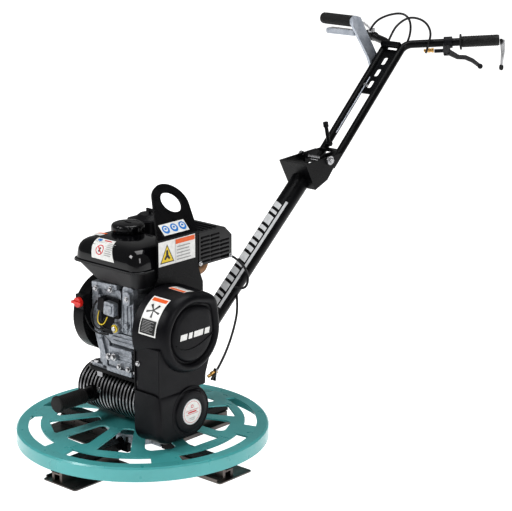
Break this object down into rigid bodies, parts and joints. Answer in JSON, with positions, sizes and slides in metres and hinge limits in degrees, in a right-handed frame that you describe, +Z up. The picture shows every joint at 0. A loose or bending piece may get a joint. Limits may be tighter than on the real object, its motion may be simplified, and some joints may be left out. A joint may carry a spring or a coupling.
{
  "type": "power trowel",
  "caption": "Walk-behind edging power trowel: engine and belt drive over a worm gearbox, pitching blades under a free-turning guard ring, folding handle.",
  "frame": {"origin": "floor under the rotor's vertical axis", "axes": "+Z up, +Y back along the handle to the operator, +X to the belt guard's side"},
  "size_m": [0.61, 1.421, 0.9676],
  "materials": {
    "ring_paint": "satin sea-green enamel",
    "black_paint": "semi-gloss black enamel",
    "tank_paint": "gloss black enamel",
    "moulded_black": "satin moulded black",
    "cast_alloy": "as-cast light alloy",
    "steel": "zinc-plated steel",
    "spring_steel": "dark spring steel",
    "cast_iron": "rough casting",
    "bronze": "machined bronze",
    "rubber": "matt rubber",
    "cable_jacket": "black cable jacket",
    "red_plastic": "red knob",
    "lever_alloy": "satin tumbled alloy",
    "rusty_steel": "heat-browned steel"
  },
  "bodies": {
    "chassis": {"gearbox_housing": "black_paint", "bearings": "steel", "gearbox_covers": "black_paint", "engine_crankcase": "cast_alloy", "engine_cylinder": "cast_alloy", "rocker_cover": "lever_alloy", "blower_housing": "black_paint", "recoil_cover": "black_paint", "fuel_tank_upper": "tank_paint", "fuel_tank_lower": "tank_paint", "air_cleaner": "moulded_black", "carburetor": "cast_alloy", "muffler": "rusty_steel", "muffler_guard": "black_paint", "engine_deck": "black_paint", "deck_bolts": "steel", "lift_bracket": "black_paint", "guard_back_plate": "black_paint", "belt_guard": "moulded_black", "v_belt": "rubber", "handle_tube": "black_paint", "hinge_box": "black_paint", "carry_tube": "black_paint", "carry_grip": "rubber", "throttle_cable": "cable_jacket", "clutch_cable": "cable_jacket"},
    "rotor": {"output_shaft": "steel", "worm_wheel": "bronze", "spider": "cast_iron"},
    "arm_1": {"trowel_arm_1": "black_paint", "blade_1": "spring_steel"},
    "arm_2": {"trowel_arm_2": "black_paint", "blade_2": "spring_steel"},
    "arm_3": {"trowel_arm_3": "black_paint", "blade_3": "spring_steel"},
    "arm_4": {"trowel_arm_4": "black_paint", "blade_4": "spring_steel"},
    "pressure_plate": {"pressure_plate": "cast_iron"},
    "worm": {"worm_shaft": "steel", "driven_pulley": "cast_iron"},
    "crank": {"crankshaft": "steel", "flywheel": "cast_iron", "clutch_pulley": "cast_iron"},
    "ring": {"guard_ring": "ring_paint"},
    "idler": {"idler_arm": "black_paint"},
    "fuel_cap": {"fuel_cap": "moulded_black"},
    "starter_grip": {"starter_grip": "moulded_black"},
    "engine_switch": {"engine_switch": "red_plastic"},
    "upper_handle": {"handle_frame": "black_paint", "console_plate": "black_paint", "right_grip": "rubber", "lever_clamp": "moulded_black", "pivot_pins": "steel", "upper_cables": "cable_jacket"},
    "pitch_lever": {"pitch_lever": "lever_alloy"},
    "pitch_trigger": {"pitch_trigger": "steel"},
    "pitch_rod": {"pitch_rod": "steel"},
    "clutch_lever": {"clutch_lever": "moulded_black"},
    "throttle_lever": {"throttle_lever": "steel"},
    "fold_latch": {"fold_latch": "black_paint"}
  },
  "joints": [
    {"name": "rotor_spin", "type": "hinge", "parent": "chassis", "child": "rotor", "pos_m": [0, 0, 0.158], "axis": [0, 0, 1], "continuous": true},
    {"name": "worm_spin", "type": "hinge", "parent": "chassis", "child": "worm", "pos_m": [0, -0.04, 0.158], "axis": [1, 0, 0], "continuous": true},
    {"name": "crank_spin", "type": "hinge", "parent": "chassis", "child": "crank", "pos_m": [0, -0.04, 0.35], "axis": [1, 0, 0], "continuous": true},
    {"name": "guard_ring_spin", "type": "hinge", "parent": "chassis", "child": "ring", "pos_m": [0, 0, 0.09], "axis": [0, 0, 1], "continuous": true},
    {"name": "blade_pitch_1", "type": "hinge", "parent": "rotor", "child": "arm_1", "pos_m": [0, 0, 0.044], "axis": [-1, 0, 0], "range_deg": [0, 12]},
    {"name": "blade_pitch_2", "type": "hinge", "parent": "rotor", "child": "arm_2", "pos_m": [0, 0, 0.044], "axis": [0, -1, 0], "range_deg": [0, 12]},
    {"name": "blade_pitch_3", "type": "hinge", "parent": "rotor", "child": "arm_3", "pos_m": [0, 0, 0.044], "axis": [1, 0, 0], "range_deg": [0, 12]},
    {"name": "blade_pitch_4", "type": "hinge", "parent": "rotor", "child": "arm_4", "pos_m": [0, 0, 0.044], "axis": [0, 1, 0], "range_deg": [0, 12]},
    {"name": "pressure_plate_slide", "type": "slide", "parent": "rotor", "child": "pressure_plate", "axis": [0, 0, -1], "range_m": [0, 0.0059]},
    {"name": "handle_fold", "type": "hinge", "parent": "chassis", "child": "upper_handle", "pos_m": [0, 0.641, 0.623], "axis": [1, 0, 0], "range_deg": [0, 105]},
    {"name": "pitch_lever_swing", "type": "hinge", "parent": "upper_handle", "child": "pitch_lever", "pos_m": [-0.0435, 0.93, 0.838], "axis": [-1, 0, 0], "range_deg": [0, 45]},
    {"name": "pitch_trigger_pull", "type": "slide", "parent": "pitch_lever", "child": "pitch_trigger", "axis": [0, 0, 1], "range_m": [0, 0.008], "stiffness_N_per_m": 400, "springref_m": -0.004},
    {"name": "pitch_rod_slide", "type": "slide", "parent": "upper_handle", "child": "pitch_rod", "axis": [0, -0.7292, -0.6843], "range_m": [0, 0.02]},
    {"name": "clutch_squeeze", "type": "hinge", "parent": "upper_handle", "child": "clutch_lever", "pos_m": [0.13721, 1.01448, 0.8712], "axis": [0.3302, -0.6399, 0.6939], "range_deg": [0, 20], "stiffness_Nm_per_rad": 1.5, "springref_deg": -20.05},
    {"name": "idler_swing", "type": "hinge", "parent": "chassis", "child": "idler", "pos_m": [0.141, -0.126, 0.31], "axis": [1, 0, 0], "range_deg": [0, 3.2]},
    {"name": "throttle_turn", "type": "hinge", "parent": "upper_handle", "child": "throttle_lever", "pos_m": [-0.118, 1.0156, 0.899], "axis": [0, 0, 1], "range_deg": [0, 60]},
    {"name": "latch_turn", "type": "hinge", "parent": "upper_handle", "child": "fold_latch", "pos_m": [-0.01, 0.706, 0.649], "axis": [1, 0, 0], "range_deg": [0, 50]},
    {"name": "switch_turn", "type": "hinge", "parent": "chassis", "child": "engine_switch", "pos_m": [-0.07, -0.1324, 0.391], "axis": [0, -1, 0], "range_deg": [0, 45]},
    {"name": "starter_pull", "type": "slide", "parent": "chassis", "child": "starter_grip", "axis": [0, 0.9285, 0.3714], "range_m": [0, 0.5], "stiffness_N_per_m": 25, "springref_m": -0.15},
    {"name": "cap_turn", "type": "hinge", "parent": "chassis", "child": "fuel_cap", "pos_m": [-0.044, 0.004, 0.545], "axis": [0, 0, 1], "range_deg": [0, 90]}
  ],
  "couplings": [
    {"joint": "worm_spin", "follows": "rotor_spin", "ratio": -20},
    {"joint": "crank_spin", "follows": "rotor_spin", "ratio": -26.154},
    {"joint": "blade_pitch_1", "follows": "pitch_lever_swing", "ratio": 0.26667},
    {"joint": "blade_pitch_2", "follows": "pitch_lever_swing", "ratio": 0.26667},
    {"joint": "blade_pitch_3", "follows": "pitch_lever_swing", "ratio": 0.26667},
    {"joint": "blade_pitch_4", "follows": "pitch_lever_swing", "ratio": 0.26667},
    {"joint": "pressure_plate_slide", "follows": "pitch_lever_swing", "m_per_rad": 0.007467},
    {"joint": "pitch_rod_slide", "follows": "pitch_lever_swing", "m_per_rad": 0.0254},
    {"joint": "idler_swing", "follows": "clutch_squeeze", "ratio": 0.16}
  ]
}
